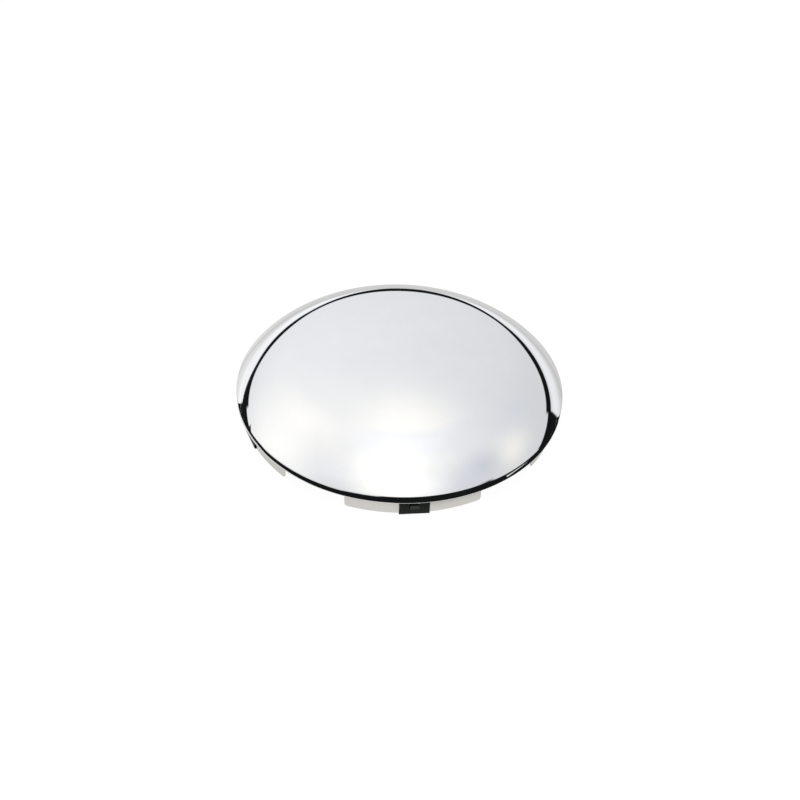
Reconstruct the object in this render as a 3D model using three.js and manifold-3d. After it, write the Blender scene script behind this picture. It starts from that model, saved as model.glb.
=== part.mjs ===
// Chromed hub cover for the front wheel of a truck.
// Millimetres. +Z runs up through the dome. The origin is on the axis, in the plane the clips stand on.
// Heights named _Z below are measured from the underside of the rim hem, which lies at HEM_HEIGHT.
import * as THREE from 'three';
import { mergeVertices } from 'three/addons/utils/BufferGeometryUtils.js';
import Module from 'manifold-3d';

// Frame
const HEM_HEIGHT = 12.9;

// Dome skin: a shallow crown, a tighter shoulder, a small bend and a short upright wall
const RIM_R = 112.5;
const SKIN_T = 0.9;
const CROWN_R = 355;
const SHOULDER_R = 68;
const EDGE_BEND_R = 2;
const EDGE_SLOPE = THREE.MathUtils.degToRad(50.5);
const WALL_TOP_Z = 4.8;
const FOLD_R = 1.2;
const HEM_INNER_R = 109;
const CROWN_STEPS = 6;
const SHOULDER_STEPS = 9;
const BEND_STEPS = 3;
const AROUND = 72;

// Lip ring: a flange held in the hem and a short lip that is cut into five tabs
const LIP_T = 0.8;
const LIP_OUTER_R = 108.3;
const LIP_INNER_R = LIP_OUTER_R - LIP_T;
const LIP_BOTTOM_Z = -12;
const FLANGE_OUTER_R = 111.3;
const FLANGE_BOTTOM_Z = 1.2;
const FLANGE_TOP_Z = FLANGE_BOTTOM_Z + LIP_T;
const RING_BEND_R = 1.2;
const TAB_COUNT = 5;
const FIRST_TAB_DEG = -90;
const NOTCH_HALF_WIDTH = 23;
const NOTCH_TOP_Z = 0.3;
const NOTCH_ROOT_R = 1.5;
const TAB_CORNER_R = 2;
const SLOT_HALF_WIDTH = 3.8;
const SLOT_BOTTOM_Z = -8.2;
const SLOT_TOP_Z = -4.4;

// Spring clip: a flat strip folded into a U over the tab's lower edge
const CLIP_T = 0.5;
const CLIP_WIDTH = 19.5;
const OUTER_LEAF_R = 108.6;
const OUTER_LEAF_TOP_Z = -0.5;
const OUTER_LEAF_CORNER_R = 1.4;
const INNER_LEAF_R = 106.7;
const INNER_LEAF_TOP_Z = -3;
const LEAD_IN_LENGTH = 1.4;
const LEAD_IN_OFFSET = 0.6;
const CLIP_BEND_R = 0.6;
const CLIP_BOTTOM_Z = -HEM_HEIGHT;
const WINDOW_HALF_WIDTH = 3.3;
const WINDOW_BOTTOM_Z = -8.9;
const WINDOW_TOP_Z = -2;
const LUG_HALF_WIDTH = 2.5;
const LUG_REACH_R = 107.6;
const LUG_BOTTOM_Z = -7.6;
const LUG_PEAK_Z = -6;
const LUG_TOP_Z = -5.4;

// Tongue lanced out of the clip's window, rooted at the bottom and flared outwards at the top
const TONGUE_HALF_WIDTH = 2.95;
const TONGUE_ROOT_Z = -8.6;
const TONGUE_KNEE_Z = -7.4;
const TONGUE_TIP_Z = -3.2;
const TONGUE_KNEE_OUT = 0.25;
const TONGUE_TIP_OUT = 1.9;
const TONGUE_TIP_R = 0.8;

const ARC_STEPS = 4;
const MERGE_MM = 1e-4;
const CUT_DEPTH = 8;

const CHROME = new THREE.MeshStandardMaterial({ color: 0xd9dbde, roughness: 0.06, metalness: 1 });
const LIP_PLATE = new THREE.MeshStandardMaterial({ color: 0xc9c6bf, roughness: 0.22, metalness: 1 });
const BLACK_STEEL = new THREE.MeshStandardMaterial({ color: 0x1a1e1b, roughness: 0.38, metalness: 0.6 });

const wasm = await Module();
wasm.setup();

// ---- Two-dimensional outlines --------------------------------------------------------------------

// Points on an arc; the angle is measured from +y towards +x, the way a dome falls from its crown.
function domeArc(centre, radius, from, to, steps) {
  const points = [];
  for (let i = 0; i <= steps; i += 1) {
    const angle = from + ((to - from) * i) / steps;
    points.push(new THREE.Vector2(centre.x + radius * Math.sin(angle), centre.y + radius * Math.cos(angle)));
  }
  return points;
}

function withoutRepeats(points) {
  return points.filter((p, i) => i === 0 || p.distanceTo(points[i - 1]) > MERGE_MM);
}

// The crown, the shoulder and the edge bend as seen from outside, moved inwards by an offset.
function domeCurve(offset) {
  const crownShare = RIM_R - EDGE_BEND_R - (SHOULDER_R - EDGE_BEND_R) * Math.sin(EDGE_SLOPE);
  const join = Math.asin(crownShare / (CROWN_R - SHOULDER_R));
  const bend = new THREE.Vector2(RIM_R - EDGE_BEND_R, WALL_TOP_Z);
  const shoulder = new THREE.Vector2(
    bend.x - (SHOULDER_R - EDGE_BEND_R) * Math.sin(EDGE_SLOPE),
    bend.y - (SHOULDER_R - EDGE_BEND_R) * Math.cos(EDGE_SLOPE),
  );
  const crown = new THREE.Vector2(0, shoulder.y - (CROWN_R - SHOULDER_R) * Math.cos(join));
  return withoutRepeats([
    ...domeArc(crown, CROWN_R - offset, 0, join, CROWN_STEPS),
    ...domeArc(shoulder, SHOULDER_R - offset, join, EDGE_SLOPE, SHOULDER_STEPS),
    ...domeArc(bend, EDGE_BEND_R - offset, EDGE_SLOPE, Math.PI / 2, BEND_STEPS),
  ]);
}

function skinProfile() {
  const fold = new THREE.Vector2(RIM_R - FOLD_R, FOLD_R);
  const outer = domeCurve(0);
  const inner = domeCurve(SKIN_T).reverse();
  return withoutRepeats([
    ...outer,
    ...domeArc(fold, FOLD_R, Math.PI / 2, Math.PI, BEND_STEPS),
    new THREE.Vector2(HEM_INNER_R, 0),
    new THREE.Vector2(HEM_INNER_R, SKIN_T),
    ...domeArc(fold, FOLD_R - SKIN_T, Math.PI, Math.PI / 2, 1),
    ...inner,
  ]);
}

function ringProfile() {
  const bend = new THREE.Vector2(LIP_INNER_R + RING_BEND_R, FLANGE_TOP_Z - RING_BEND_R);
  const points = [
    new THREE.Vector2(LIP_INNER_R, LIP_BOTTOM_Z),
    ...domeArc(bend, RING_BEND_R, -Math.PI / 2, 0, BEND_STEPS),
    new THREE.Vector2(FLANGE_OUTER_R, FLANGE_TOP_Z),
    new THREE.Vector2(FLANGE_OUTER_R, FLANGE_BOTTOM_Z),
    ...domeArc(bend, RING_BEND_R - LIP_T, 0, -Math.PI / 2, 2),
    new THREE.Vector2(LIP_OUTER_R, LIP_BOTTOM_Z),
  ];
  return [...points, points[0].clone()];
}

// The opening between two tabs: rounded at its roots and opening out round the tabs' lower corners.
function notchShape() {
  const half = NOTCH_HALF_WIDTH;
  const below = LIP_BOTTOM_Z - 2;
  const flare = half + TAB_CORNER_R;
  const knee = LIP_BOTTOM_Z + TAB_CORNER_R;
  const root = NOTCH_TOP_Z - NOTCH_ROOT_R;
  const shape = new THREE.Shape();
  shape.moveTo(-flare, below);
  shape.lineTo(flare, below);
  shape.lineTo(flare, LIP_BOTTOM_Z);
  shape.absarc(flare, knee, TAB_CORNER_R, -Math.PI / 2, -Math.PI, true);
  shape.lineTo(half, root);
  shape.absarc(half - NOTCH_ROOT_R, root, NOTCH_ROOT_R, 0, Math.PI / 2, false);
  shape.lineTo(-half + NOTCH_ROOT_R, NOTCH_TOP_Z);
  shape.absarc(-half + NOTCH_ROOT_R, root, NOTCH_ROOT_R, Math.PI / 2, Math.PI, false);
  shape.lineTo(-half, knee);
  shape.absarc(-flare, knee, TAB_CORNER_R, 0, -Math.PI / 2, true);
  shape.closePath();
  return shape;
}

function rectangle(halfWidth, bottom, top) {
  const shape = new THREE.Shape();
  shape.moveTo(-halfWidth, bottom);
  shape.lineTo(halfWidth, bottom);
  shape.lineTo(halfWidth, top);
  shape.lineTo(-halfWidth, top);
  shape.closePath();
  return shape;
}

// A plate outline whose two upper corners are rounded.
function roundedPlate(halfWidth, bottom, top, corner) {
  const shape = new THREE.Shape();
  shape.moveTo(-halfWidth, bottom);
  shape.lineTo(halfWidth, bottom);
  shape.absarc(halfWidth - corner, top - corner, corner, 0, Math.PI / 2, false);
  shape.absarc(-halfWidth + corner, top - corner, corner, Math.PI / 2, Math.PI, false);
  shape.closePath();
  return shape;
}

// The clip from the side: x is the distance from the hub axis.
function clipShape() {
  const outerBack = OUTER_LEAF_R + CLIP_T;
  const innerBack = INNER_LEAF_R - CLIP_T;
  const floor = CLIP_BOTTOM_Z + CLIP_T;
  const bendZ = floor + CLIP_BEND_R;
  const outerBend = CLIP_BEND_R + CLIP_T;
  const leadZ = INNER_LEAF_TOP_Z - LEAD_IN_LENGTH;
  const quarter = Math.PI / 2;
  const shape = new THREE.Shape();
  shape.moveTo(outerBack, OUTER_LEAF_TOP_Z);
  shape.lineTo(OUTER_LEAF_R, OUTER_LEAF_TOP_Z);
  shape.lineTo(OUTER_LEAF_R, bendZ);
  shape.absarc(OUTER_LEAF_R - CLIP_BEND_R, bendZ, CLIP_BEND_R, 0, -quarter, true);
  shape.lineTo(INNER_LEAF_R + CLIP_BEND_R, floor);
  shape.absarc(INNER_LEAF_R + CLIP_BEND_R, bendZ, CLIP_BEND_R, -quarter, -2 * quarter, true);
  shape.lineTo(INNER_LEAF_R, leadZ);
  shape.lineTo(INNER_LEAF_R - LEAD_IN_OFFSET, INNER_LEAF_TOP_Z);
  shape.lineTo(innerBack - LEAD_IN_OFFSET, INNER_LEAF_TOP_Z);
  shape.lineTo(innerBack, leadZ);
  shape.lineTo(innerBack, bendZ);
  shape.absarc(innerBack + outerBend, bendZ, outerBend, 2 * quarter, 3 * quarter, false);
  shape.lineTo(outerBack - outerBend, CLIP_BOTTOM_Z);
  shape.absarc(outerBack - outerBend, bendZ, outerBend, -quarter, 0, false);
  shape.closePath();
  return shape;
}

// The lug pressed out of the inner leaf, which catches in the tab's slot.
function lugShape() {
  const root = INNER_LEAF_R - CLIP_T / 2;
  const shape = new THREE.Shape();
  shape.moveTo(root, LUG_BOTTOM_Z);
  shape.lineTo(LUG_REACH_R, LUG_PEAK_Z);
  shape.lineTo(LUG_REACH_R, LUG_TOP_Z);
  shape.lineTo(root, LUG_TOP_Z);
  shape.closePath();
  return shape;
}

// The tongue from the side: upright at its root, then leaning outwards.
function tongueShape() {
  const near = OUTER_LEAF_R;
  const far = OUTER_LEAF_R + CLIP_T;
  const shape = new THREE.Shape();
  shape.moveTo(near, TONGUE_ROOT_Z);
  shape.lineTo(far, TONGUE_ROOT_Z);
  shape.lineTo(far + TONGUE_KNEE_OUT, TONGUE_KNEE_Z);
  shape.lineTo(far + TONGUE_TIP_OUT, TONGUE_TIP_Z);
  shape.lineTo(near + TONGUE_TIP_OUT, TONGUE_TIP_Z);
  shape.lineTo(near + TONGUE_KNEE_OUT, TONGUE_KNEE_Z);
  shape.closePath();
  return shape;
}

// ---- Solids --------------------------------------------------------------------------------------

// A profile of (radius, height) points turned about Z.
function revolve(profile) {
  const geometry = new THREE.LatheGeometry(profile, AROUND);
  geometry.rotateX(Math.PI / 2);
  return bare(geometry);
}

function extrude(shape, depth) {
  const geometry = new THREE.ExtrudeGeometry(shape, { depth, bevelEnabled: false, curveSegments: ARC_STEPS });
  return geometry;
}

// The directions at a tab: outwards, and along the rim.
function tabAxes(tab) {
  const angle = THREE.MathUtils.degToRad(FIRST_TAB_DEG + (tab * 360) / TAB_COUNT);
  const outward = new THREE.Vector3(Math.cos(angle), Math.sin(angle), 0);
  const along = new THREE.Vector3(-Math.sin(angle), Math.cos(angle), 0);
  return { outward, along, up: new THREE.Vector3(0, 0, 1) };
}

// Cuts straight through the lip: the shape's x runs along the rim and its y is height.
function throughLip(shape, tab) {
  const { outward, along, up } = tabAxes(tab);
  const geometry = extrude(shape, 2 * CUT_DEPTH);
  geometry.translate(0, 0, LIP_OUTER_R - CUT_DEPTH);
  geometry.applyMatrix4(new THREE.Matrix4().makeBasis(along, up, outward));
  return bare(geometry);
}

// Stands across a tab: the shape's x is the distance from the hub axis and its y is height.
function acrossTab(shape, halfWidth, tab) {
  const { outward, along, up } = tabAxes(tab);
  const geometry = extrude(shape, 2 * halfWidth);
  geometry.translate(0, 0, -halfWidth);
  geometry.applyMatrix4(new THREE.Matrix4().makeBasis(outward, up, along.clone().negate()));
  return bare(geometry);
}

function bare(geometry) {
  const plain = geometry.index ? geometry.toNonIndexed() : geometry;
  plain.deleteAttribute('normal');
  plain.deleteAttribute('uv');
  return facingOut(withoutSlivers(mergeVertices(plain, MERGE_MM)));
}

// Drops the empty triangles that a profile point on the axis leaves behind.
function withoutSlivers(geometry) {
  const old = geometry.index.array;
  const kept = [];
  for (let i = 0; i < old.length; i += 3) {
    const corners = [old[i], old[i + 1], old[i + 2]];
    if (new Set(corners).size === 3) kept.push(...corners);
  }
  geometry.setIndex(kept);
  return geometry;
}

function volume(geometry) {
  const at = (i) => new THREE.Vector3().fromBufferAttribute(geometry.attributes.position, i);
  const index = geometry.index.array;
  let total = 0;
  for (let i = 0; i < index.length; i += 3) {
    total += at(index[i]).dot(at(index[i + 1]).cross(at(index[i + 2]))) / 6;
  }
  return total;
}

function facingOut(geometry) {
  if (volume(geometry) >= 0) return geometry;
  const flipped = Array.from(geometry.index.array);
  for (let i = 0; i < flipped.length; i += 3) {
    [flipped[i + 1], flipped[i + 2]] = [flipped[i + 2], flipped[i + 1]];
  }
  geometry.setIndex(flipped);
  return geometry;
}

function solid(geometry) {
  return new wasm.Manifold(
    new wasm.Mesh({
      numProp: 3,
      vertProperties: Float32Array.from(geometry.attributes.position.array),
      triVerts: Uint32Array.from(geometry.index.array),
    }),
  );
}

function fromSolid(body) {
  const mesh = body.getMesh();
  const geometry = new THREE.BufferGeometry();
  geometry.setAttribute('position', new THREE.Float32BufferAttribute(Array.from(mesh.vertProperties), 3));
  geometry.setIndex(Array.from(mesh.triVerts));
  return geometry;
}

function lipRing() {
  let ring = solid(revolve(ringProfile()));
  for (let tab = 0; tab < TAB_COUNT; tab += 1) {
    ring = ring.subtract(solid(throughLip(notchShape(), tab + 0.5)));
    ring = ring.subtract(solid(throughLip(rectangle(SLOT_HALF_WIDTH, SLOT_BOTTOM_Z, SLOT_TOP_Z), tab)));
  }
  return fromSolid(ring);
}

// The window goes through the outer leaf alone, so its cutter starts between the two leaves.
function windowCutter(tab) {
  const side = new THREE.Shape();
  side.moveTo(OUTER_LEAF_R - CLIP_T, WINDOW_BOTTOM_Z);
  side.lineTo(OUTER_LEAF_R + 2 * CLIP_T, WINDOW_BOTTOM_Z);
  side.lineTo(OUTER_LEAF_R + 2 * CLIP_T, WINDOW_TOP_Z);
  side.lineTo(OUTER_LEAF_R - CLIP_T, WINDOW_TOP_Z);
  side.closePath();
  return acrossTab(side, WINDOW_HALF_WIDTH, tab);
}

function clip(tab) {
  const front = roundedPlate(CLIP_WIDTH / 2, CLIP_BOTTOM_Z - 1, OUTER_LEAF_TOP_Z, OUTER_LEAF_CORNER_R);
  const body = solid(acrossTab(clipShape(), CLIP_WIDTH, tab))
    .intersect(solid(throughLip(front, tab)))
    .subtract(solid(windowCutter(tab)))
    .add(solid(acrossTab(lugShape(), LUG_HALF_WIDTH, tab)));
  return fromSolid(body);
}

function tongue(tab) {
  const front = roundedPlate(TONGUE_HALF_WIDTH, TONGUE_ROOT_Z - 1, TONGUE_TIP_Z, TONGUE_TIP_R);
  const body = solid(acrossTab(tongueShape(), TONGUE_HALF_WIDTH + 1, tab));
  return fromSolid(body.intersect(solid(throughLip(front, tab))));
}

// ---- Assembly ------------------------------------------------------------------------------------

const group = new THREE.Group();
group.name = 'wheel_hub_cover';

function addNode(name, geometry, material) {
  geometry.translate(0, 0, HEM_HEIGHT);
  const mesh = new THREE.Mesh(geometry, material);
  mesh.name = name;
  group.add(mesh);
}

addNode('dome_skin', revolve(skinProfile()), CHROME);
addNode('lip_ring', lipRing(), LIP_PLATE);
for (let tab = 0; tab < TAB_COUNT; tab += 1) {
  addNode(`clip_${tab + 1}`, clip(tab), BLACK_STEEL);
  addNode(`clip_tongue_${tab + 1}`, tongue(tab), BLACK_STEEL);
}

export default group;
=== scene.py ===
import math

import bmesh
import bpy
import numpy as np
from mathutils import Matrix, Vector
from mathutils.geometry import delaunay_2d_cdt


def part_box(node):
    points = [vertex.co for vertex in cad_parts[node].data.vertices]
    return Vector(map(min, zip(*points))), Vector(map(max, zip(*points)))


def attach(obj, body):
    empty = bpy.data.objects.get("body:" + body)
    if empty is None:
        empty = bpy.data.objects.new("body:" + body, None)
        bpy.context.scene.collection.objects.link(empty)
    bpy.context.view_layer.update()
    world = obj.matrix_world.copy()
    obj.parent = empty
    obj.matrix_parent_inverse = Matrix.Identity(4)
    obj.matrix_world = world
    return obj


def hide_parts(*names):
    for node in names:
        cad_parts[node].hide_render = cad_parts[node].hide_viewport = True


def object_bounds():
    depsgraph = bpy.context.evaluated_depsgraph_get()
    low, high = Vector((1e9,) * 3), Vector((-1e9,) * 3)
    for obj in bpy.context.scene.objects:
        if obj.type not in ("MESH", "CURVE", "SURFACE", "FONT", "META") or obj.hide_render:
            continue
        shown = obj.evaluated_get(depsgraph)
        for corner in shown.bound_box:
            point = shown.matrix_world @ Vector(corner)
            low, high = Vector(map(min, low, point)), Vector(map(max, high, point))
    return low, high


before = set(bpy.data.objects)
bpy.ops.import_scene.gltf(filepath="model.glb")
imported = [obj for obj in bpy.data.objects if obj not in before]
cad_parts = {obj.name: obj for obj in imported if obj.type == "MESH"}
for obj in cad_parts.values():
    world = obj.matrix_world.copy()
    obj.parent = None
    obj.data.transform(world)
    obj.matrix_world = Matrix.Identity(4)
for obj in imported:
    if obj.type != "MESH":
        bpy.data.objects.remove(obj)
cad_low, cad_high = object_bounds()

MM = 0.001

# ---- Dimensions, the same as the frame's ---------------------------------------------------------

RIM_R = (cad_high.x - cad_low.x) / 2 / MM
HEM_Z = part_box("dome_skin")[0].z / MM
SKIN_T = 0.9
CROWN_R = 355
SHOULDER_R = 68
EDGE_BEND_R = 2
EDGE_SLOPE = math.radians(50.5)
WALL_TOP_Z = 4.8
FOLD_R = 1.2
HEM_INNER_R = 109
HEM_EDGE_R = 0.25

LIP_T = 0.8
LIP_INNER_R = 107.5
LIP_OUTER_R = LIP_INNER_R + LIP_T
LIP_BOTTOM_Z = -12
FLANGE_OUTER_R = 111.3
FLANGE_TOP_Z = 2.0
RING_BEND_R = 1.2
# The ring's section laid flat: where its wall starts to bend, and the length of the bend.
BEND_START_Z = FLANGE_TOP_Z - RING_BEND_R
BEND_LENGTH = math.radians(90) * (RING_BEND_R - LIP_T / 2)
TAB_COUNT = 5
NOTCH_HALF = 23
NOTCH_TOP_Z = 0.3
NOTCH_ROOT_R = 1.5
TAB_CORNER_R = 2
SLOT_HALF = 3.8
SLOT_BOTTOM_Z = -8.2
SLOT_TOP_Z = -4.4
SLOT_CORNER_R = 0.8

CLIP_T = 0.5
CLIP_HALF = 9.75
OUTER_LEAF_R = 108.6
OUTER_LEAF_TOP_Z = -0.5
INNER_LEAF_R = 106.7
INNER_LEAF_TOP_Z = -3
LEAD_IN_LENGTH = 1.4
LEAD_IN_OFFSET = 0.6
# The stretch over which the lead-in turns away, and how far it has gone at the stretch's middle and end.
LEAD_IN_TURN = 1.2
LEAD_IN_TURN_OFFSETS = (0.05, 0.22)
CLIP_BEND_R = 0.6
CLIP_CORNER_R = 1.4
# The inner leaf lies past this share of the clip's section.
INNER_LEAF_FROM = 0.6
WINDOW_HALF = 3.3
WINDOW_BOTTOM_Z = -8.9
WINDOW_TOP_Z = -2
WINDOW_CORNER_R = 0.5
LUG_HALF = 2.5
LUG_REACH = 0.9
LUG_BOTTOM_Z = -7.6
LUG_PEAK_Z = -6
LUG_TOP_Z = -5.4
# The lug fades out over a little height above its top, and over flanks that reach a little past its sides.
LUG_DROP = 0.3
LUG_PAST_SIDE = 0.4
LUG_FLANK = 0.5

TONGUE_HALF = 2.95
TONGUE_CORNER_R = 0.8
# The tongue's face towards the tab, root to tip: how far it stands out from the outer leaf, and its height.
TONGUE_FACE = [(0, -8.79), (0.01, -8.4), (0.08, -7.9), (0.25, -7.3), (0.6, -6.4), (1.85, -3.25)]

SHEET_EDGE_R = 0.16
CLIP_EDGE_R = 0.1
# How worn a cut edge is: round its outside, and where it meets the broad face.
EDGE_WEAR = 1.0
EDGE_WEAR_INSIDE = 0.35

# ---- Fineness of the meshes ----------------------------------------------------------------------

# Segments round the axis, and steps round bends and corners.
AROUND = 480
EDGE_STEPS = 3
FOLD_STEPS = 10
BEND_STEPS = 8
CORNER_STEPS = 6
SMALL_CORNER_STEPS = 4
# Steps along the dome's crown, its shoulder and its edge bend, outside and inside.
OUTER_STEPS = (28, 40, 12)
INNER_STEPS = (20, 28, 4)
FLANGE_ROWS = 8
# The longest steps along straight runs.
WALL_STEP = 0.9
HEM_STEP = 0.8
LIP_STEP = 1.5
SLOT_STEP = 1.2
CLIP_SECTION_STEP = 0.35
CLIP_OUTLINE_STEP = 0.9
CLIP_STEP = 0.6
WINDOW_STEP = 0.8
TONGUE_SECTION_STEP = 0.25
TONGUE_OUTLINE_STEP = 0.6
TONGUE_STEP = 0.5
# Points inside a sheet keep this share of a step away from its edges.
CLEAR_OF_EDGE = 0.45

# ---- Camera --------------------------------------------------------------------------------------

CAMERA_AZIMUTH = math.radians(-6.3)
CAMERA_ELEVATION = math.radians(40.1)
CAMERA_ROLL = math.radians(2.0)
CAMERA_DISTANCE_M = 0.7875
SENSOR_MM = 36
LENS_MM = 50.87
SHIFT_X = 0.0004
SHIFT_Y = -0.0155
NEAREST_M = 0.01
FARTHEST_M = 100


def towards(azimuth, elevation):
    """A unit vector; azimuth is from the camera's side of the object, turning to the camera's right."""
    a = azimuth + CAMERA_AZIMUTH
    level = math.cos(elevation)
    return Vector((math.sin(a) * level, -math.cos(a) * level, math.sin(elevation)))


def add_camera():
    data = bpy.data.cameras.new("camera")
    camera = bpy.data.objects.new("camera", data)
    bpy.context.scene.collection.objects.link(camera)
    data.sensor_width = SENSOR_MM
    data.lens = LENS_MM
    data.shift_x = SHIFT_X
    data.shift_y = SHIFT_Y
    data.clip_start = NEAREST_M
    data.clip_end = FARTHEST_M
    back = towards(0, CAMERA_ELEVATION)
    turn = (-back).to_track_quat("-Z", "Y").to_matrix().to_4x4()
    place = Matrix.Translation(Vector((0, 0, HEM_Z * MM)) + back * CAMERA_DISTANCE_M)
    camera.matrix_world = place @ turn @ Matrix.Rotation(CAMERA_ROLL, 4, "Z")
    bpy.context.scene.camera = camera


# ---- Outlines ------------------------------------------------------------------------------------


def arc(cx, cy, radius, start, end, steps):
    """Points on an arc, angles in degrees from +x towards +y."""
    angles = [math.radians(start + (end - start) * i / steps) for i in range(steps + 1)]
    return [(cx + radius * math.cos(a), cy + radius * math.sin(a)) for a in angles]


def tidy(points, gap=1e-5):
    """Drops each point that falls on the one before it."""
    kept = [points[0]]
    for p in points[1:]:
        if math.dist(p, kept[-1]) > gap:
            kept.append(p)
    return kept


def resample(points, step):
    """Adds points along straight runs so that none is longer than step."""
    out = [points[0]]
    for a, b in zip(points, points[1:]):
        n = max(1, math.ceil(math.dist(a, b) / step))
        out += [(a[0] + (b[0] - a[0]) * i / n, a[1] + (b[1] - a[1]) * i / n) for i in range(1, n + 1)]
    return out


def dome_curve(offset, crown_steps, shoulder_steps, bend_steps):
    """Radius and height of the dome from its crown to the top of its wall, moved inwards by offset."""
    across = RIM_R - EDGE_BEND_R
    reach = SHOULDER_R - EDGE_BEND_R
    join = math.asin((across - reach * math.sin(EDGE_SLOPE)) / (CROWN_R - SHOULDER_R))
    shoulder = (across - reach * math.sin(EDGE_SLOPE), WALL_TOP_Z - reach * math.cos(EDGE_SLOPE))
    crown_z = shoulder[1] - (CROWN_R - SHOULDER_R) * math.cos(join)
    top, slope, edge = 90, math.degrees(join), math.degrees(EDGE_SLOPE)
    return tidy(
        arc(0, crown_z, CROWN_R - offset, top, top - slope, crown_steps)
        + arc(*shoulder, SHOULDER_R - offset, top - slope, top - edge, shoulder_steps)
        + arc(across, WALL_TOP_Z, EDGE_BEND_R - offset, top - edge, 0, bend_steps)
    )


# ---- Meshes --------------------------------------------------------------------------------------


def new_object(name, verts, faces, materials, face_slots=None, edge_wear=None):
    mesh = bpy.data.meshes.new(name)
    mesh.from_pydata([tuple(v) for v in verts], [], faces)
    for m in materials:
        mesh.materials.append(m)
    if face_slots is not None:
        mesh.polygons.foreach_set("material_index", face_slots)
    mesh.polygons.foreach_set("use_smooth", [True] * len(mesh.polygons))
    if edge_wear is not None:
        wear = mesh.attributes.new("edge_wear", "FLOAT", "POINT")
        wear.data.foreach_set("value", np.asarray(edge_wear, np.float32))
    mesh.update()
    obj = bpy.data.objects.new(name, mesh)
    bpy.context.scene.collection.objects.link(obj)
    return obj


def face_out(obj, merge_m=1e-7):
    """Joins doubled points and turns every face of a closed mesh outwards."""
    bm = bmesh.new()
    bm.from_mesh(obj.data)
    bmesh.ops.remove_doubles(bm, verts=bm.verts, dist=merge_m)
    bmesh.ops.recalc_face_normals(bm, faces=bm.faces)
    bm.to_mesh(obj.data)
    bm.free()


def weigh_normals(obj):
    """Keeps the broad faces flat in shading beside their small rounded edges."""
    modifier = obj.modifiers.new("broad_faces", "WEIGHTED_NORMAL")
    modifier.mode = "FACE_AREA"
    modifier.weight = 100
    modifier.keep_sharp = False
    graph = bpy.context.evaluated_depsgraph_get()
    shaded = obj.evaluated_get(graph)
    mesh = bpy.data.meshes.new_from_object(shaded, preserve_all_data_layers=True, depsgraph=graph)
    obj.modifiers.clear()
    old = obj.data
    obj.data = mesh
    bpy.data.meshes.remove(old)


def lathe(profile, segments):
    """Turns (radius, height) points about Z.

    Returns points and rows of faces; row i joins profile point i to the next.
    """
    verts, rows, starts = [], [], []
    for r, z in profile:
        starts.append(len(verts))
        if r < 1e-6:
            verts.append((0, 0, z * MM))
            continue
        for k in range(segments):
            a = 2 * math.pi * k / segments
            verts.append((r * math.cos(a) * MM, r * math.sin(a) * MM, z * MM))
    for i in range(len(profile) - 1):
        a, b, row = starts[i], starts[i + 1], []
        for k in range(segments):
            n = (k + 1) % segments
            if profile[i][0] < 1e-6:
                row.append((a, b + k, b + n))
            elif profile[i + 1][0] < 1e-6:
                row.append((a + k, b, a + n))
            else:
                row.append((a + k, b + k, b + n, a + n))
        rows.append(row)
    return verts, rows


def rim_levels(thickness, edge):
    """(inset, depth) pairs that round a sheet's cut edge from its upper face over to its lower one."""
    turn = [math.radians(90 * i / EDGE_STEPS) for i in range(EDGE_STEPS + 1)]
    upper = [(edge * (1 - math.sin(a)), thickness - edge * (1 - math.cos(a))) for a in turn]
    return upper + [(inset, thickness - depth) for inset, depth in reversed(upper)]


def left_normals(points, closed):
    """Mitred normals on the left of a path, of length 1 along its straight runs."""
    p = np.array(points, float)
    before, after = np.roll(p, 1, 0), np.roll(p, -1, 0)
    if not closed:
        before[0], after[-1] = p[0], p[-1]
    out = []
    for a, b, c in zip(before, p, after):
        units = []
        for d in (b - a, c - b):
            size = np.hypot(*d)
            if size > 1e-9:
                units.append(np.array([-d[1], d[0]]) / size)
        n = sum(units)
        n = n / np.hypot(*n)
        out.append(n / max(0.5, float(n @ units[0])))
    return np.array(out)


def inside(point, loop):
    x, y = point
    hit = False
    for (x0, y0), (x1, y1) in zip(loop, loop[1:] + loop[:1]):
        if (y0 > y) != (y1 > y) and x < (x1 - x0) * (y - y0) / (y1 - y0) + x0:
            hit = not hit
    return hit


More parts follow.
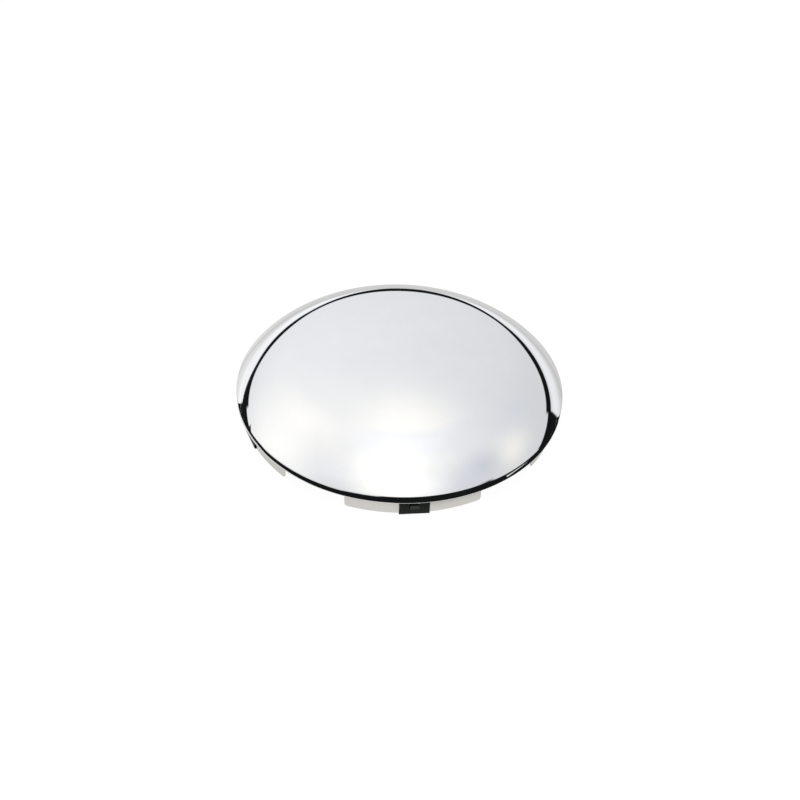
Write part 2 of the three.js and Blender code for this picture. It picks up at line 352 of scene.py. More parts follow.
def sheet(name, rims, seams, place, thickness, step, materials, edge=SHEET_EDGE_R):
    """A sheet of metal cut to an outline, with rounded cut edges, bent to shape by place(a, b, depth).

    rims are lists of (points, closed) with the metal on their left. Open rims are joined by seams, given as
    the points between them, and the sheet has no edge along a seam. Closed rims are holes, but where there
    are no open rims the first is the outline.
    """
    levels = rim_levels(thickness, edge)
    verts, wear, faces = [], [], []
    flat, flat_top, flat_low, links, loops, chain = [], [], [], [], [], []
    for points, closed in rims:
        normals = left_normals(points, closed)
        p = np.array(points, float)
        first = len(verts)
        for inset, depth in levels:
            for q in p + normals * inset:
                verts.append(place(q[0], q[1], depth))
                wear.append(EDGE_WEAR if inset < edge * 0.9 else EDGE_WEAR_INSIDE)
        n = len(points)
        for k in range(len(levels) - 1):
            for i in range(n if closed else n - 1):
                j = (i + 1) % n
                a, b = first + k * n, first + (k + 1) * n
                faces.append((a + i, b + i, b + j, a + j))
        start = len(flat)
        inner = p + normals * edge
        flat += [tuple(q) for q in inner]
        flat_top += [first + i for i in range(n)]
        flat_low += [first + (len(levels) - 1) * n + i for i in range(n)]
        links += [(start + i, start + (i + 1) % n) for i in range(n if closed else n - 1)]
        if closed:
            loops.append([tuple(q) for q in inner])
        else:
            chain.append((start, n))
    if chain:
        ring = []
        for (start, n), seam in zip(chain, seams):
            ring += list(range(start, start + n))
            for q in seam:
                ring.append(len(flat))
                flat_top.append(len(verts))
                verts.append(place(q[0], q[1], thickness))
                flat_low.append(len(verts))
                verts.append(place(q[0], q[1], 0))
                wear += [0.0, 0.0]
                flat.append(tuple(q))
        links += [pair for pair in zip(ring, ring[1:] + ring[:1]) if pair not in set(links)]
        outer = [flat[i] for i in ring]
        holes = loops
    else:
        outer, holes = loops[0], loops[1:]
    bounds = np.array(outer)
    lo, hi = bounds.min(0), bounds.max(0)
    nx, ny = (max(1, round((hi[i] - lo[i]) / step)) for i in (0, 1))
    border = np.array(flat)
    for i in range(1, nx):
        for j in range(1, ny):
            q = (lo[0] + (hi[0] - lo[0]) * i / nx, lo[1] + (hi[1] - lo[1]) * j / ny)
            if np.hypot(*(border - q).T).min() < step * CLEAR_OF_EDGE:
                continue
            if not inside(q, outer) or any(inside(q, h) for h in holes):
                continue
            flat_top.append(len(verts))
            verts.append(place(q[0], q[1], thickness))
            flat_low.append(len(verts))
            verts.append(place(q[0], q[1], 0))
            wear += [0.0, 0.0]
            flat.append(q)
    found = delaunay_2d_cdt([Vector(q) for q in flat], links, [], 0, 1e-7)
    points, source = found[0], found[3]
    for tri in found[2]:
        c = sum((points[i] for i in tri), Vector((0, 0))) / 3
        if not inside(c, outer) or any(inside(c, h) for h in holes):
            continue
        ids = [source[i][0] for i in tri]
        faces.append(tuple(flat_top[i] for i in ids))
        faces.append(tuple(flat_low[i] for i in reversed(ids)))
    obj = new_object(name, verts, faces, materials, edge_wear=wear)
    face_out(obj)
    return obj


def bend_path(points):
    """A bent strip's section through (radius, height) points.

    Returns its length, and at(s), which gives the point at that length and the normal on the path's left.
    """
    p = np.array(tidy(points), float)
    run = np.concatenate([[0], np.cumsum(np.hypot(*np.diff(p, axis=0).T))])
    slopes = np.gradient(p, run, axis=0)
    slopes /= np.hypot(*slopes.T)[:, None]

    def at(s):
        x = [np.interp(s, run, p[:, i]) for i in (0, 1)]
        t = [np.interp(s, run, slopes[:, i]) for i in (0, 1)]
        size = math.hypot(*t)
        return x[0], x[1], -t[1] / size, t[0] / size

    return at, float(run[-1])


def tab_axes(tab):
    angle = math.radians(-90 + 360 * tab / TAB_COUNT)
    return Vector((math.cos(angle), math.sin(angle), 0)), Vector((-math.sin(angle), math.cos(angle), 0))


# ---- Materials -----------------------------------------------------------------------------------


class Mixer:
    """Short calls for building a node tree."""

    def __init__(self, tree):
        self.tree = tree

    def node(self, kind, **values):
        n = self.tree.nodes.new(kind)
        for key, value in values.items():
            setattr(n, key, value)
        return n

    def put(self, socket, value):
        if isinstance(value, bpy.types.NodeSocket):
            self.tree.links.new(value, socket)
        else:
            socket.default_value = value

    def maths(self, operation, a, b=0.0):
        n = self.node("ShaderNodeMath", operation=operation)
        self.put(n.inputs[0], a)
        self.put(n.inputs[1], b)
        return n.outputs[0]

    def add(self, *values):
        total = values[0]
        for v in values[1:]:
            total = self.maths("ADD", total, v)
        return total

    def times(self, *values):
        total = values[0]
        for v in values[1:]:
            total = self.maths("MULTIPLY", total, v)
        return total

    def along(self, vector, direction):
        n = self.node("ShaderNodeVectorMath", operation="DOT_PRODUCT")
        self.put(n.inputs[0], vector)
        n.inputs[1].default_value = direction
        return n.outputs["Value"]

    def spread(self, value, low, high, to_low, to_high, kind="LINEAR"):
        n = self.node("ShaderNodeMapRange", interpolation_type=kind)
        names = ("Value", "From Min", "From Max", "To Min", "To Max")
        for name, v in zip(names, (value, low, high, to_low, to_high)):
            self.put(n.inputs[name], v)
        return n.outputs["Result"]

    def ramp(self, value, start, end):
        """A smooth step from 0 at start to 1 at end."""
        return self.spread(value, start, end, 0.0, 1.0, "SMOOTHSTEP")

    def off(self, value, start, end):
        """A smooth step from 1 at start to 0 at end."""
        return self.maths("SUBTRACT", 1.0, self.ramp(value, start, end))

    def window(self, value, low, high, soft):
        """1 between low and high and 0 outside them, with soft ends."""
        return self.times(self.ramp(value, low - soft, low + soft), self.off(value, high - soft, high + soft))

    def lobe(self, vector, direction, sharpness, strength):
        """A soft spot of light round a direction."""
        facing = self.maths("MAXIMUM", self.along(vector, direction), 0.0)
        return self.times(self.maths("POWER", facing, sharpness), strength)

    def glow(self, color, strength):
        n = self.node("ShaderNodeEmission")
        self.put(n.inputs["Color"], (*color, 1))
        self.put(n.inputs["Strength"], strength)
        return n.outputs[0]


class Shader(Mixer):
    """A surface material, with its textures in the object's own coordinates."""

    def __init__(self, name):
        self.material = bpy.data.materials.new(name)
        self.material.use_nodes = True
        super().__init__(self.material.node_tree)
        self.bsdf = self.tree.nodes["Principled BSDF"]
        self.point = self.node("ShaderNodeTexCoord").outputs["Object"]

    def stretched(self, x, y, z):
        n = self.node("ShaderNodeMapping")
        self.put(n.inputs["Vector"], self.point)
        n.inputs["Scale"].default_value = (x, y, z)
        return n.outputs["Vector"]

    def noise(self, scale, detail, roughness=0.5, vector=None):
        n = self.node("ShaderNodeTexNoise")
        self.put(n.inputs["Vector"], vector or self.point)
        n.inputs["Scale"].default_value = scale
        n.inputs["Detail"].default_value = detail
        n.inputs["Roughness"].default_value = roughness
        return n.outputs["Fac"]

    def blend(self, amount, low, high):
        n = self.node("ShaderNodeMix", data_type="RGBA")
        self.put(n.inputs["Factor"], amount)
        self.put(n.inputs["A"], (*low, 1) if isinstance(low, tuple) else low)
        self.put(n.inputs["B"], (*high, 1))
        return n.outputs["Result"]

    def bump(self, height, distance_m):
        n = self.node("ShaderNodeBump")
        self.put(n.inputs["Height"], height)
        n.inputs["Distance"].default_value = distance_m
        n.inputs["Strength"].default_value = 1.0
        return n.outputs["Normal"]

    def attribute(self, name):
        return self.node("ShaderNodeAttribute", attribute_name=name).outputs["Fac"]

    def finish(self, color, roughness, metallic, normal):
        self.put(self.bsdf.inputs["Base Color"], color)
        self.put(self.bsdf.inputs["Roughness"], roughness)
        self.put(self.bsdf.inputs["Metallic"], metallic)
        self.put(self.bsdf.inputs["Normal"], normal)
        return self.material


def chrome():
    s = Shader("polished_chrome")
    ripple = s.noise(38, detail=1)
    haze = s.noise(55, detail=5, roughness=0.6)
    polish = s.noise(420, detail=2, vector=s.stretched(1, 1, 6))
    color = s.blend(s.spread(haze, 0.35, 0.7, 0, 1), (0.872, 0.876, 0.886), (0.850, 0.855, 0.868))
    rough = s.maths("ADD", s.spread(haze, 0.4, 0.75, 0.018, 0.04), s.spread(polish, 0.55, 0.8, 0, 0.02))
    normal = s.bump(ripple, 0.000012)
    return s.finish(color, rough, 1.0, normal)


def raw_steel():
    s = Shader("drawn_steel_inside")
    cloud = s.noise(24, detail=4, roughness=0.6)
    grain = s.noise(1400, detail=2)
    color = s.blend(cloud, (0.50, 0.495, 0.48), (0.60, 0.595, 0.585))
    rough = s.spread(cloud, 0.3, 0.7, 0.3, 0.46)
    return s.finish(color, rough, 1.0, s.bump(grain, 0.00001))


def lip_plate():
    s = Shader("lip_plating")
    cloud = s.noise(40, detail=4, roughness=0.55)
    drawn = s.noise(260, detail=3, vector=s.stretched(0.15, 0.15, 4))
    wear = s.attribute("edge_wear")
    plain = s.blend(cloud, (0.728, 0.712, 0.678), (0.783, 0.771, 0.742))
    color = s.blend(s.maths("MULTIPLY", wear, 0.35), plain, (0.62, 0.60, 0.57))
    rough = s.maths("ADD", s.spread(cloud, 0.3, 0.7, 0.24, 0.34), s.spread(drawn, 0.4, 0.7, 0, 0.06))
    return s.finish(color, rough, 1.0, s.bump(drawn, 0.000012))


def black_spring():
    s = Shader("black_oxide_spring_steel")
    cloud = s.noise(160, detail=4, roughness=0.6)
    grain = s.noise(2600, detail=2)
    wear = s.maths("MULTIPLY", s.attribute("edge_wear"), s.spread(cloud, 0.35, 0.65, 0.1, 0.8))
    plain = s.blend(cloud, (0.005, 0.008, 0.0055), (0.010, 0.014, 0.0105))
    color = s.blend(s.maths("MULTIPLY", wear, 0.3), plain, (0.16, 0.16, 0.15))
    rough = s.spread(cloud, 0.3, 0.7, 0.38, 0.55)
    s.bsdf.inputs["Specular IOR Level"].default_value = 0.15
    return s.finish(color, rough, 0.0, s.bump(grain, 0.000008))


# ---- Pieces --------------------------------------------------------------------------------------


def make_dome(chrome_material, inside_material):
    outer = dome_curve(0, *OUTER_STEPS)
    inner = dome_curve(SKIN_T, *INNER_STEPS)
    fold = (RIM_R - FOLD_R, FOLD_R)
    edge_r = HEM_INNER_R + HEM_EDGE_R
    wall = resample([outer[-1], (RIM_R, FOLD_R)], WALL_STEP)
    under = arc(*fold, FOLD_R, 0, -90, FOLD_STEPS)
    flat = resample([under[-1], (edge_r, 0)], HEM_STEP)
    lip = arc(edge_r, HEM_EDGE_R, HEM_EDGE_R, 270, 180, SMALL_CORNER_STEPS)
    lip += arc(edge_r, SKIN_T - HEM_EDGE_R, HEM_EDGE_R, 180, 90, SMALL_CORNER_STEPS)
    tucked = arc(*fold, FOLD_R - SKIN_T, -90, 0, SMALL_CORNER_STEPS)
    outside = tidy(outer + wall + under + flat + lip)
    profile = tidy(outside + tucked + inner[::-1])
    profile = [(r, z + HEM_Z) for r, z in profile]
    verts, rows = lathe(profile, AROUND)
    faces, slots = [], []
    for i, row in enumerate(rows):
        faces += row
        slots += [0 if i < len(outside) - 1 else 1] * len(row)
    dome = new_object("dome_shell", verts, faces, [chrome_material, inside_material], slots)
    face_out(dome)
    return dome


def lip_sector_rims():
    """The lower and upper cut edges of one fifth of the ring.

    The first number of a point runs along the wall, and the second up the bent section.
    """
    along = math.radians(180 / TAB_COUNT) * LIP_OUTER_R
    notch = along - math.asin(NOTCH_HALF / LIP_OUTER_R) * LIP_OUTER_R
    root = NOTCH_TOP_Z - NOTCH_ROOT_R
    knee = LIP_BOTTOM_Z + TAB_CORNER_R
    lower = [(-along, NOTCH_TOP_Z)]
    lower += arc(-notch - NOTCH_ROOT_R, root, NOTCH_ROOT_R, 90, 0, CORNER_STEPS)
    lower += arc(-notch + TAB_CORNER_R, knee, TAB_CORNER_R, 180, 270, BEND_STEPS)
    lower += [(-x, y) for x, y in reversed(lower)]
    top = BEND_START_Z + BEND_LENGTH + (FLANGE_OUTER_R - LIP_INNER_R - RING_BEND_R)
    upper = [(along, top), (-along, top)]
    return resample(tidy(lower), LIP_STEP), resample(upper, LIP_STEP), along, top


def lip_place(tab):
    centre = math.radians(-90 + 360 * tab / TAB_COUNT)

    def place(a, b, depth):
        angle = centre + a / LIP_OUTER_R
        if b <= BEND_START_Z:
            r, z = LIP_INNER_R + depth, b
        elif b <= BEND_START_Z + BEND_LENGTH:
            turn = math.radians(90) * (b - BEND_START_Z) / BEND_LENGTH
            radius = RING_BEND_R - depth
            r = LIP_INNER_R + RING_BEND_R - radius * math.cos(turn)
            z = BEND_START_Z + radius * math.sin(turn)
        else:
            r = LIP_INNER_R + RING_BEND_R + (b - BEND_START_Z - BEND_LENGTH)
            z = BEND_START_Z + RING_BEND_R - depth
        return (r * math.cos(angle) * MM, r * math.sin(angle) * MM, (z + HEM_Z) * MM)

    return place


def rounded_box(x0, y0, x1, y1, radius, steps, step):
    """A closed loop with rounded corners, anticlockwise."""
    loop = arc(x1 - radius, y0 + radius, radius, -90, 0, steps)
    loop += arc(x1 - radius, y1 - radius, radius, 0, 90, steps)
    loop += arc(x0 + radius, y1 - radius, radius, 90, 180, steps)
    loop += arc(x0 + radius, y0 + radius, radius, 180, 270, steps)
    return tidy(resample(loop + loop[:1], step))[:-1]


def join(objects, name):
    """Joins objects into one closed mesh along the edges they share."""
    bm = bmesh.new()
    for o in objects:
        bm.from_mesh(o.data)
    bmesh.ops.remove_doubles(bm, verts=bm.verts, dist=2e-6)
    bmesh.ops.recalc_face_normals(bm, faces=bm.faces)
    mesh = bpy.data.meshes.new(name)
    bm.to_mesh(mesh)
    bm.free()
    for m in objects[0].data.materials:
        mesh.materials.append(m)
    mesh.polygons.foreach_set("use_smooth", [True] * len(mesh.polygons))
    obj = bpy.data.objects.new(name, mesh)
    bpy.context.scene.collection.objects.link(obj)
    for o in objects:
        bpy.data.objects.remove(o)
    return obj


def make_lip(material):
    lower, upper, along, top = lip_sector_rims()
    edge = SHEET_EDGE_R
    rows = [
        NOTCH_TOP_Z + edge + (top - NOTCH_TOP_Z - 2 * edge) * i / FLANGE_ROWS for i in range(1, FLANGE_ROWS)
    ]
    seams = [[(along, b) for b in rows], [(-along, b) for b in reversed(rows)]]
    slot = rounded_box(
        -SLOT_HALF, SLOT_BOTTOM_Z, SLOT_HALF, SLOT_TOP_Z, SLOT_CORNER_R, SMALL_CORNER_STEPS, SLOT_STEP
    )[::-1]
    sectors = []
    for tab in range(TAB_COUNT):
        rims = [(lower, False), (upper, False), (slot, True)]
        sectors.append(sheet(f"sector_{tab}", rims, seams, lip_place(tab), LIP_T, LIP_STEP, [material]))
    lip = join(sectors, "lip_band")
    weigh_normals(lip)
    return lip


def clip_section():
    """The face of the clip that looks at the tab, from the outer leaf's top round to the inner leaf's end."""
    floor = -HEM_Z + CLIP_T
    bend = floor + CLIP_BEND_R
    lead = INNER_LEAF_TOP_Z - LEAD_IN_LENGTH
    outer = [(OUTER_LEAF_R, OUTER_LEAF_TOP_Z)]
    outer += arc(OUTER_LEAF_R - CLIP_BEND_R, bend, CLIP_BEND_R, 0, -90, BEND_STEPS)
    outer += arc(INNER_LEAF_R + CLIP_BEND_R, bend, CLIP_BEND_R, -90, -180, BEND_STEPS)
    at_middle, at_end = LEAD_IN_TURN_OFFSETS
    outer += [
        (INNER_LEAF_R, lead - LEAD_IN_TURN / 2),
        (INNER_LEAF_R - at_middle, lead),
        (INNER_LEAF_R - at_end, lead + LEAD_IN_TURN / 2),
        (INNER_LEAF_R - LEAD_IN_OFFSET, INNER_LEAF_TOP_Z),
    ]
    return resample(outer, CLIP_SECTION_STEP)


def make_clip(tab, material):
    outward, along = tab_axes(tab)
    at, length = bend_path(clip_section())
    inner_from = length * INNER_LEAF_FROM
    lug_end_z = LUG_TOP_Z + LUG_DROP
    lug_side = LUG_HALF + LUG_PAST_SIDE

    def place(a, b, depth):
        # b falls from 0 at the outer leaf's top. The path's left is away from the tab, and depth goes
        # that way.
        r, z, nr, nz = at(-b)
        push = 0.0
        if -b > inner_from and LUG_BOTTOM_Z < z < lug_end_z and abs(a) < lug_side:
            rise = (z - LUG_BOTTOM_Z) / (LUG_PEAK_Z - LUG_BOTTOM_Z)
            fall = (lug_end_z - z) / LUG_DROP
            flank = (lug_side - abs(a)) / LUG_FLANK
            push = LUG_REACH * min(1, rise, fall) * min(1, flank)
        r = r + nr * depth + push
        z = z + nz * depth
        return (outward * r + along * a) * MM + Vector((0, 0, (z + HEM_Z) * MM))

    outline = rounded_box(-CLIP_HALF, -length, CLIP_HALF, 0, CLIP_CORNER_R, CORNER_STEPS, CLIP_OUTLINE_STEP)
    bottom = WINDOW_BOTTOM_Z - OUTER_LEAF_TOP_Z
    top = WINDOW_TOP_Z - OUTER_LEAF_TOP_Z
    window = rounded_box(
        -WINDOW_HALF, bottom, WINDOW_HALF, top, WINDOW_CORNER_R, SMALL_CORNER_STEPS, WINDOW_STEP
    )[::-1]
    rims = [(outline, True), (window, True)]
    clip = sheet(f"clip_spring_{tab + 1}", rims, [], place, CLIP_T, CLIP_STEP, [material], CLIP_EDGE_R)
    weigh_normals(clip)
    return clip


def tongue_section():
    """The face of the tongue that looks at the tab, from its root up to its tip."""
    return resample([(OUTER_LEAF_R + out, z) for out, z in TONGUE_FACE], TONGUE_SECTION_STEP)


def make_tongue(tab, material):
    outward, along = tab_axes(tab)
    at, length = bend_path(tongue_section())

    def place(a, b, depth):
        r, z, nr, nz = at(b)
        r, z = r - nr * depth, z - nz * depth
        return (outward * r + along * a) * MM + Vector((0, 0, (z + HEM_Z) * MM))

    corner = TONGUE_CORNER_R
    outline = [(-TONGUE_HALF, 0), (TONGUE_HALF, 0)]
    outline += arc(TONGUE_HALF - corner, length - corner, corner, 0, 90, CORNER_STEPS)
    outline += arc(-TONGUE_HALF + corner, length - corner, corner, 90, 180, CORNER_STEPS)
    outline = tidy(resample(outline + outline[:1], TONGUE_OUTLINE_STEP))[:-1]
    rims = [(outline, True)]
    tongue = sheet(f"clip_barb_{tab + 1}", rims, [], place, CLIP_T, TONGUE_STEP, [material], CLIP_EDGE_R)
    weigh_normals(tongue)
    return tongue


# ---- Studio --------------------------------------------------------------------------------------

# The floor, white to the camera with a faint shadow.
FLOOR_R_M = 3.0
FLOOR_SIDES = 128
FLOOR_PAINT = (0.08, 0.08, 0.08)
FLOOR_SEEN = 0.95
WHITE = (1, 1, 1)
# In reflections it is a grey sheet under the cover, shaded along its left and right edges as the camera sees
# it, and brighter past them.
SHEET_TINT = (1.0, 0.995, 0.985)
SHEET_LEVEL = 0.68
SHEET_LEFT_M = -0.150
SHEET_RIGHT_M = 0.180
SHEET_SOFT_M = 0.25
PAST_LEFT = 0.26
PAST_RIGHT = 0.22
SHEET_SHADE_HALF_M = 0.024
SHEET_SHADE = -0.11
# Directions in which the sheet is brighter: azimuth from the camera, sharpness, strength.
SHEET_LOBES = [(-115, 10, 0.14), (0, 2, 0.14)]

# The black cloth on the floor, in the camera's frame: +x to its right, +y away from it.
CLOTH_TINT = (0.9, 1.0, 1.05)
CLOTH_LEVEL = 0.006
CLOTH_CLOUD = 0.008
CLOTH_Z_M = 0.0001
# Its edge nearest to the cover: turn in degrees and radius.
CLOTH_NEAR_EDGE = [
    (188.5, 0.1172), (208, 0.1210), (226, 0.1228), (268, 0.1226),
    (272, 0.118), (325, 0.118), (345, 0.1165), (351.5, 0.116),
]
CLOTH_NEAR_STEPS = 80
CLOTH_MIDDLE_R_M = 0.148
CLOTH_REACH_M = 2.4
# Its wing on the left: the turn of its far side, the turn of its near corner, and how far forward it ends.
CLOTH_LEFT_DEG = 147.5
CLOTH_WING_DEG = 209
CLOTH_WING_FORWARD_M = 0.02
# Its front part: where it starts, the turn of its right side, and where its far edge ends.
CLOTH_FRONT_DEG = 248
CLOTH_RIGHT_DEG = 31
CLOTH_FAR_END_DEG = 389
CLOTH_FAR_STEPS = 24

TAPE_LEVEL = 0.7
TAPE_CLOUD = 0.2
TAPE_R_M = (0.1242, 0.1256)
TAPE_DEG = (-46, -33)
TAPE_STEPS = 12


def stage_material(name):
    """An empty node material for the studio, and its mixer."""
    material = bpy.data.materials.new(name)
    material.use_nodes = True
    m = Mixer(material.node_tree)
    m.tree.nodes.clear()
    return material, m


def floor_material():
    material, m = stage_material("studio_floor")
    place = m.node("ShaderNodeTexCoord").outputs["Object"]
    n = m.node("ShaderNodeVectorMath", operation="NORMALIZE")
    m.put(n.inputs[0], place)
    way = n.outputs["Vector"]
    across = m.along(place, towards(math.radians(90), 0))

    def near_edge(x):
        return m.off(m.maths("ABSOLUTE", m.maths("SUBTRACT", across, x)), 0.0, SHEET_SHADE_HALF_M)

    lobes = [
        m.lobe(way, towards(math.radians(azimuth), 0), sharpness, strength)
        for azimuth, sharpness, strength in SHEET_LOBES
    ]
    past_left = m.off(across, SHEET_LEFT_M - SHEET_SOFT_M, SHEET_LEFT_M)
    past_right = m.ramp(across, SHEET_RIGHT_M, SHEET_RIGHT_M + SHEET_SOFT_M)
    level = m.add(
        SHEET_LEVEL,
        m.times(past_left, PAST_LEFT),
        m.times(past_right, PAST_RIGHT),
        m.times(m.add(near_edge(SHEET_LEFT_M), near_edge(SHEET_RIGHT_M)), SHEET_SHADE),
        *lobes,
    )
    diffuse = m.node("ShaderNodeBsdfDiffuse")
    diffuse.inputs["Color"].default_value = (*FLOOR_PAINT, 1)
    seen = m.node("ShaderNodeAddShader")
    m.put(seen.inputs[0], diffuse.outputs[0])
    m.put(seen.inputs[1], m.glow(WHITE, FLOOR_SEEN))
    mix = m.node("ShaderNodeMixShader")
    m.put(mix.inputs[0], m.node("ShaderNodeLightPath").outputs["Is Camera Ray"])
    m.put(mix.inputs[1], m.glow(SHEET_TINT, level))
    m.put(mix.inputs[2], seen.outputs[0])
    m.put(m.node("ShaderNodeOutputMaterial").inputs["Surface"], mix.outputs[0])
    return material


def disc(name, radius, z, material):
    n = FLOOR_SIDES
    turn = [2 * math.pi * k / n for k in range(n)]
    verts = [(0, 0, z)] + [(radius * math.cos(a), radius * math.sin(a), z) for a in turn]
    faces = [(0, 1 + k, 1 + (k + 1) % n) for k in range(n)]
    return new_object(name, verts, faces, [material])


def reflected_only(obj):
    """Leaves an object to be seen in reflections and nowhere else."""
    for sight in ("camera", "diffuse", "transmission", "volume_scatter", "shadow"):
        setattr(obj, "visible_" + sight, False)


def polar(radius, degrees):
    """A point on the floor in the camera's frame."""
    return Vector((math.cos(math.radians(degrees)), math.sin(math.radians(degrees)), 0)) * radius


def ring(radius, start, end, steps):
    return [polar(radius, start + (end - start) * i / steps) for i in range(steps + 1)]


def flat_strips(name, strips, z, material):
    """Strips between pairs of equally long edges, turned from the camera's frame into the object's."""
    turn = Matrix.Rotation(CAMERA_AZIMUTH, 3, "Z")
    verts, faces = [], []
    for inner, outer in strips:
        first, n = len(verts), len(inner)
        verts += [turn @ p + Vector((0, 0, z)) for p in inner + outer]
        faces += [(first + i, first + i + n, first + i + n + 1, first + i + 1) for i in range(n - 1)]
    obj = new_object(name, verts, faces, [material])
    reflected_only(obj)
    return obj


def glowing_material(name, color, base, cloud):
    """A surface with a slightly uneven light of its own, which no lamp or shadow changes."""
    material, m = stage_material(name)
    noise = m.node("ShaderNodeTexNoise")
    level = m.add(base, m.times(noise.outputs["Fac"], cloud))
    m.put(m.node("ShaderNodeOutputMaterial").inputs["Surface"], m.glow(color, level))
    return material


def dark_cloth():
    """The black cloth in front, seen only in reflections.

    It lies close round the front of the rim, reaches far away in front and on the right, and has a wing far
    out on the left.
    """
    material = glowing_material("black_cloth", CLOTH_TINT, CLOTH_LEVEL, CLOTH_CLOUD)
    turns, radii = zip(*CLOTH_NEAR_EDGE)
    left, right = turns[0], turns[-1]
    n = CLOTH_NEAR_STEPS
    near = [left + (right - left) * i / n for i in range(n + 1)]
    strips = [([polar(np.interp(a, turns, radii), a) for a in near], ring(CLOTH_MIDDLE_R_M, left, right, n))]

    start = polar(radii[0], left)
    wing_near = [start, polar(CLOTH_MIDDLE_R_M, CLOTH_WING_DEG)]
    wing_far = [start + polar(CLOTH_REACH_M, CLOTH_LEFT_DEG)]
    wing_far.append(Vector((-CLOTH_REACH_M, -CLOTH_WING_FORWARD_M, 0)))
    strips.append((wing_near, wing_far))

    start = polar(radii[-1], right)
    front_near = ring(CLOTH_MIDDLE_R_M, CLOTH_FRONT_DEG, right, CLOTH_FAR_STEPS) + [start]
    front_far = ring(CLOTH_REACH_M, CLOTH_FRONT_DEG, CLOTH_FAR_END_DEG, CLOTH_FAR_STEPS)
    front_far.append(start + polar(CLOTH_REACH_M, CLOTH_RIGHT_DEG))
    strips.append((front_near, front_far))
    return flat_strips("dark_cloth", strips, CLOTH_Z_M, material)


def bright_tape():
    """A strip of white tape on the cloth, in front on the right, seen only in reflections."""
    material = glowing_material("white_tape", WHITE, TAPE_LEVEL, TAPE_CLOUD)
    edges = [ring(r, *TAPE_DEG, TAPE_STEPS) for r in TAPE_R_M]
    return flat_strips("white_tape", [tuple(edges)], 2 * CLOTH_Z_M, material)


# Soft patches of light on the tent: azimuth from the camera, elevation, sharpness, strength.
TENT = 0.75
COOL_PATCHES = [
    (35, 80, 5, 0.24), (-155, 30, 4, 0.19), (-85, 25, 7, 0.21), (15, 40, 31, 0.24), (-40, 45, 50, 0.07),
    (121, 40, 40, 0.08), (50, 33, 30, 0.06), (-45, 36, 30, 0.08)
]
WARM_PATCHES = [
    (-120, 55, 14, 0.19), (-85, 25, 7, 0.18), (85, 35, 33, 0.30), (175, 65, 60, 0.23), (75, 40, 40, -0.22),
    (121, 40, 40, -0.08), (50, 33, 30, -0.06), (-45, 36, 30, -0.08)
]
COOL = (0.982, 0.994, 1.016)
WARM = (1.12, 1.0, 0.72)
# The overhead boxes: azimuth, elevation, half width, half height, softness, strength.
WARM_BOX = (-4, 52, 0.41, 0.42, 0.45, 0.18)
COOL_BOX = (-10, 66, 0.20, 0.60, 0.38, 0.20)
# The dark gap between the tent and the floor, as sines of elevation: its height straight behind, and how
# it changes over stretches of the sideways share of a direction (+1 is the camera's right).
GAP_BOTTOM = (-0.02, [(0.0, 0.35, 0.15), (0.0, -0.30, 0.14), (-0.62, -0.92, -0.11)])
GAP_TOP = (0.155, [(0.05, 0.55, 0.07), (-0.05, -0.42, 0.048), (-0.42, -0.88, -0.042)])
GAP_SOFT = 0.008
# The azimuths, from the camera's, between which there is no gap, and how softly it ends there.
GAP_ABSENT_DEG = (-117.5, 119)
GAP_END_SOFT_DEG = 1.5
# The foot of the tent is brighter on the far side: its level, and where it fades upwards and to the front.
LOW_TENT = 0.19
LOW_TENT_TOP = (0.06, 0.13)
LOW_TENT_FRONT = (-0.30, -0.10)
# Black cloths hung in front of the tent: first and last azimuth, softness, the sines of elevation where the
# top fades, and how far it sinks towards the front.
HUNG_CLOTHS = [
    (-10, 62, 3, 0.40, 0.46, 0),
    (55, 98, 1, 0.14, 0.15, 0),
    (97, 121.5, 1, 0.180, 0.195, 0),
    (-122.5, -105, 1, 0.118, 0.130, 0),
    (-107, -90, 1, -0.059, -0.047, 0.756),
]
DARKEST = 0.01
# Keeps the sideways share defined straight up and down.
LEAST_LEVEL_SQUARED = 0.0001


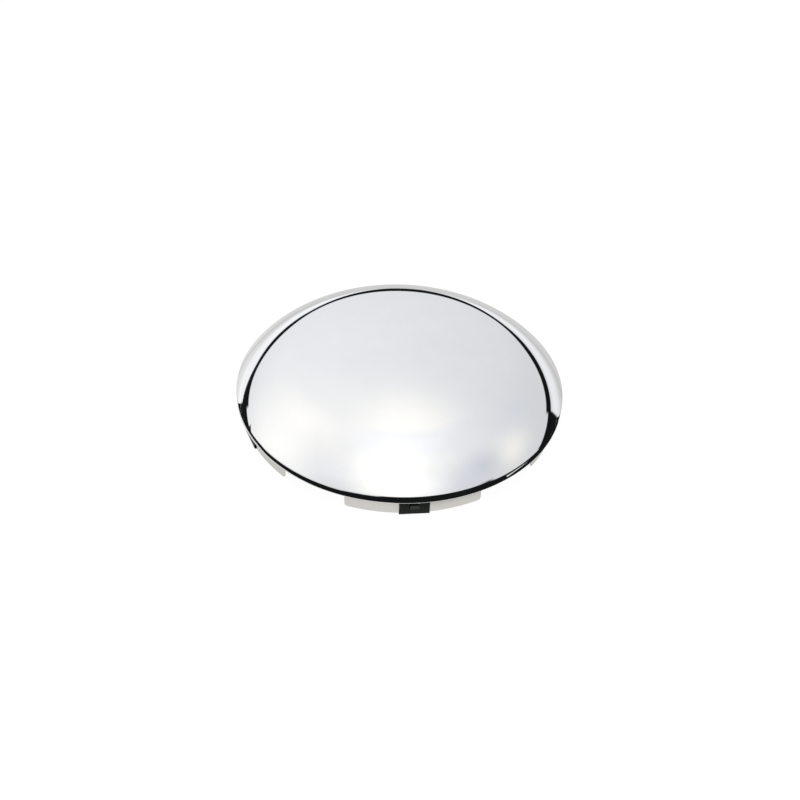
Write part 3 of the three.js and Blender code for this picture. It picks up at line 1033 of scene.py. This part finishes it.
def add_sky():
    world = bpy.data.worlds.new("studio")
    bpy.context.scene.world = world
    world.use_nodes = True
    m = Mixer(world.node_tree)
    m.tree.nodes.clear()
    look = m.node("ShaderNodeTexCoord").outputs["Generated"]

    def patches(rows, start):
        total = start
        for azimuth, elevation, sharpness, strength in rows:
            way = towards(math.radians(azimuth), math.radians(elevation))
            total = m.add(total, m.lobe(look, way, sharpness, strength))
        return total

    def box(azimuth, elevation, half_width, half_height, soft, strength):
        way = towards(math.radians(azimuth), math.radians(elevation))
        across = towards(math.radians(azimuth + 90), 0)
        sides = [(across, half_width), (across.cross(way), half_height)]
        edges = [m.off(m.maths("ABSOLUTE", m.along(look, v)), h - soft / 2, h + soft / 2) for v, h in sides]
        return m.times(*edges, m.maths("GREATER_THAN", m.along(look, way), 0.0), strength)

    rise = m.along(look, (0, 0, 1))
    level_squared = m.maths("MAXIMUM", m.maths("SUBTRACT", 1.0, m.times(rise, rise)), LEAST_LEVEL_SQUARED)
    level = m.maths("SQRT", level_squared)
    right = m.maths("DIVIDE", m.along(look, towards(math.radians(90), 0)), level)
    front = m.maths("DIVIDE", m.along(look, towards(0, 0)), level)
    turn = m.times(m.maths("ARCTAN2", right, front), math.degrees(1))

    def height(start, stretches):
        return m.add(start, *[m.times(m.ramp(right, begin, end), change) for begin, end, change in stretches])

    above = m.maths("SUBTRACT", rise, height(*GAP_BOTTOM))
    below = m.maths("SUBTRACT", height(*GAP_TOP), rise)
    gap = m.times(m.ramp(above, -GAP_SOFT, GAP_SOFT), m.ramp(below, -GAP_SOFT, GAP_SOFT))
    dark = m.times(gap, m.maths("SUBTRACT", 1.0, m.window(turn, *GAP_ABSENT_DEG, GAP_END_SOFT_DEG)))
    for first, last, soft, low, high, sinking in HUNG_CLOTHS:
        top = m.off(m.add(rise, m.times(front, sinking)), low, high)
        dark = m.maths("MAXIMUM", dark, m.times(m.window(turn, first, last, soft), top))
    low_tent = m.times(m.off(rise, *LOW_TENT_TOP), m.off(front, *LOW_TENT_FRONT), LOW_TENT)
    lit = m.maths("SUBTRACT", 1.0, m.times(dark, 1 - DARKEST))

    def background(color, level):
        n = m.node("ShaderNodeBackground")
        n.inputs["Color"].default_value = (*color, 1)
        m.put(n.inputs["Strength"], level)
        return n.outputs[0]

    seen = m.node("ShaderNodeAddShader")
    cool = patches(COOL_PATCHES, m.add(TENT, box(*COOL_BOX), low_tent))
    warm = patches(WARM_PATCHES, box(*WARM_BOX))
    m.put(seen.inputs[0], background(COOL, m.times(lit, cool)))
    m.put(seen.inputs[1], background(WARM, m.times(lit, warm)))
    mix = m.node("ShaderNodeMixShader")
    m.put(mix.inputs[0], m.node("ShaderNodeLightPath").outputs["Is Camera Ray"])
    m.put(mix.inputs[1], seen.outputs[0])
    m.put(mix.inputs[2], background(WHITE, 1.0))
    m.put(m.node("ShaderNodeOutputWorld").inputs["Surface"], mix.outputs[0])


def add_lamp(name, azimuth, elevation, distance_m, size_m, watts):
    data = bpy.data.lights.new(name, "AREA")
    data.shape = "DISK"
    data.size = size_m
    data.energy = watts
    lamp = bpy.data.objects.new(name, data)
    bpy.context.scene.collection.objects.link(lamp)
    way = towards(math.radians(azimuth), math.radians(elevation))
    lamp.location = way * distance_m
    lamp.rotation_mode = "QUATERNION"
    lamp.rotation_quaternion = (-way).to_track_quat("-Z", "Y")
    lamp.visible_glossy = False


def add_studio():
    disc("floor", FLOOR_R_M, 0, floor_material())
    dark_cloth()
    bright_tape()
    add_sky()
    add_lamp("overhead", azimuth=0, elevation=80, distance_m=2.5, size_m=2.4, watts=6)
    view = bpy.context.scene.view_settings
    view.view_transform = "Standard"
    view.look = "None"


# ---- Assembly ------------------------------------------------------------------------------------

add_camera()
dome = make_dome(chrome(), raw_steel())
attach(dome, "cover")
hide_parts("dome_skin")

lip = make_lip(lip_plate())
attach(lip, "cover")
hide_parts("lip_ring")

black = black_spring()
for tab in range(TAB_COUNT):
    clip = make_clip(tab, black)
    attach(clip, "cover")
    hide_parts(f"clip_{tab + 1}")
    tongue = make_tongue(tab, black)
    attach(tongue, f"tongue_{tab + 1}")
    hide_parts(f"clip_tongue_{tab + 1}")

add_studio()
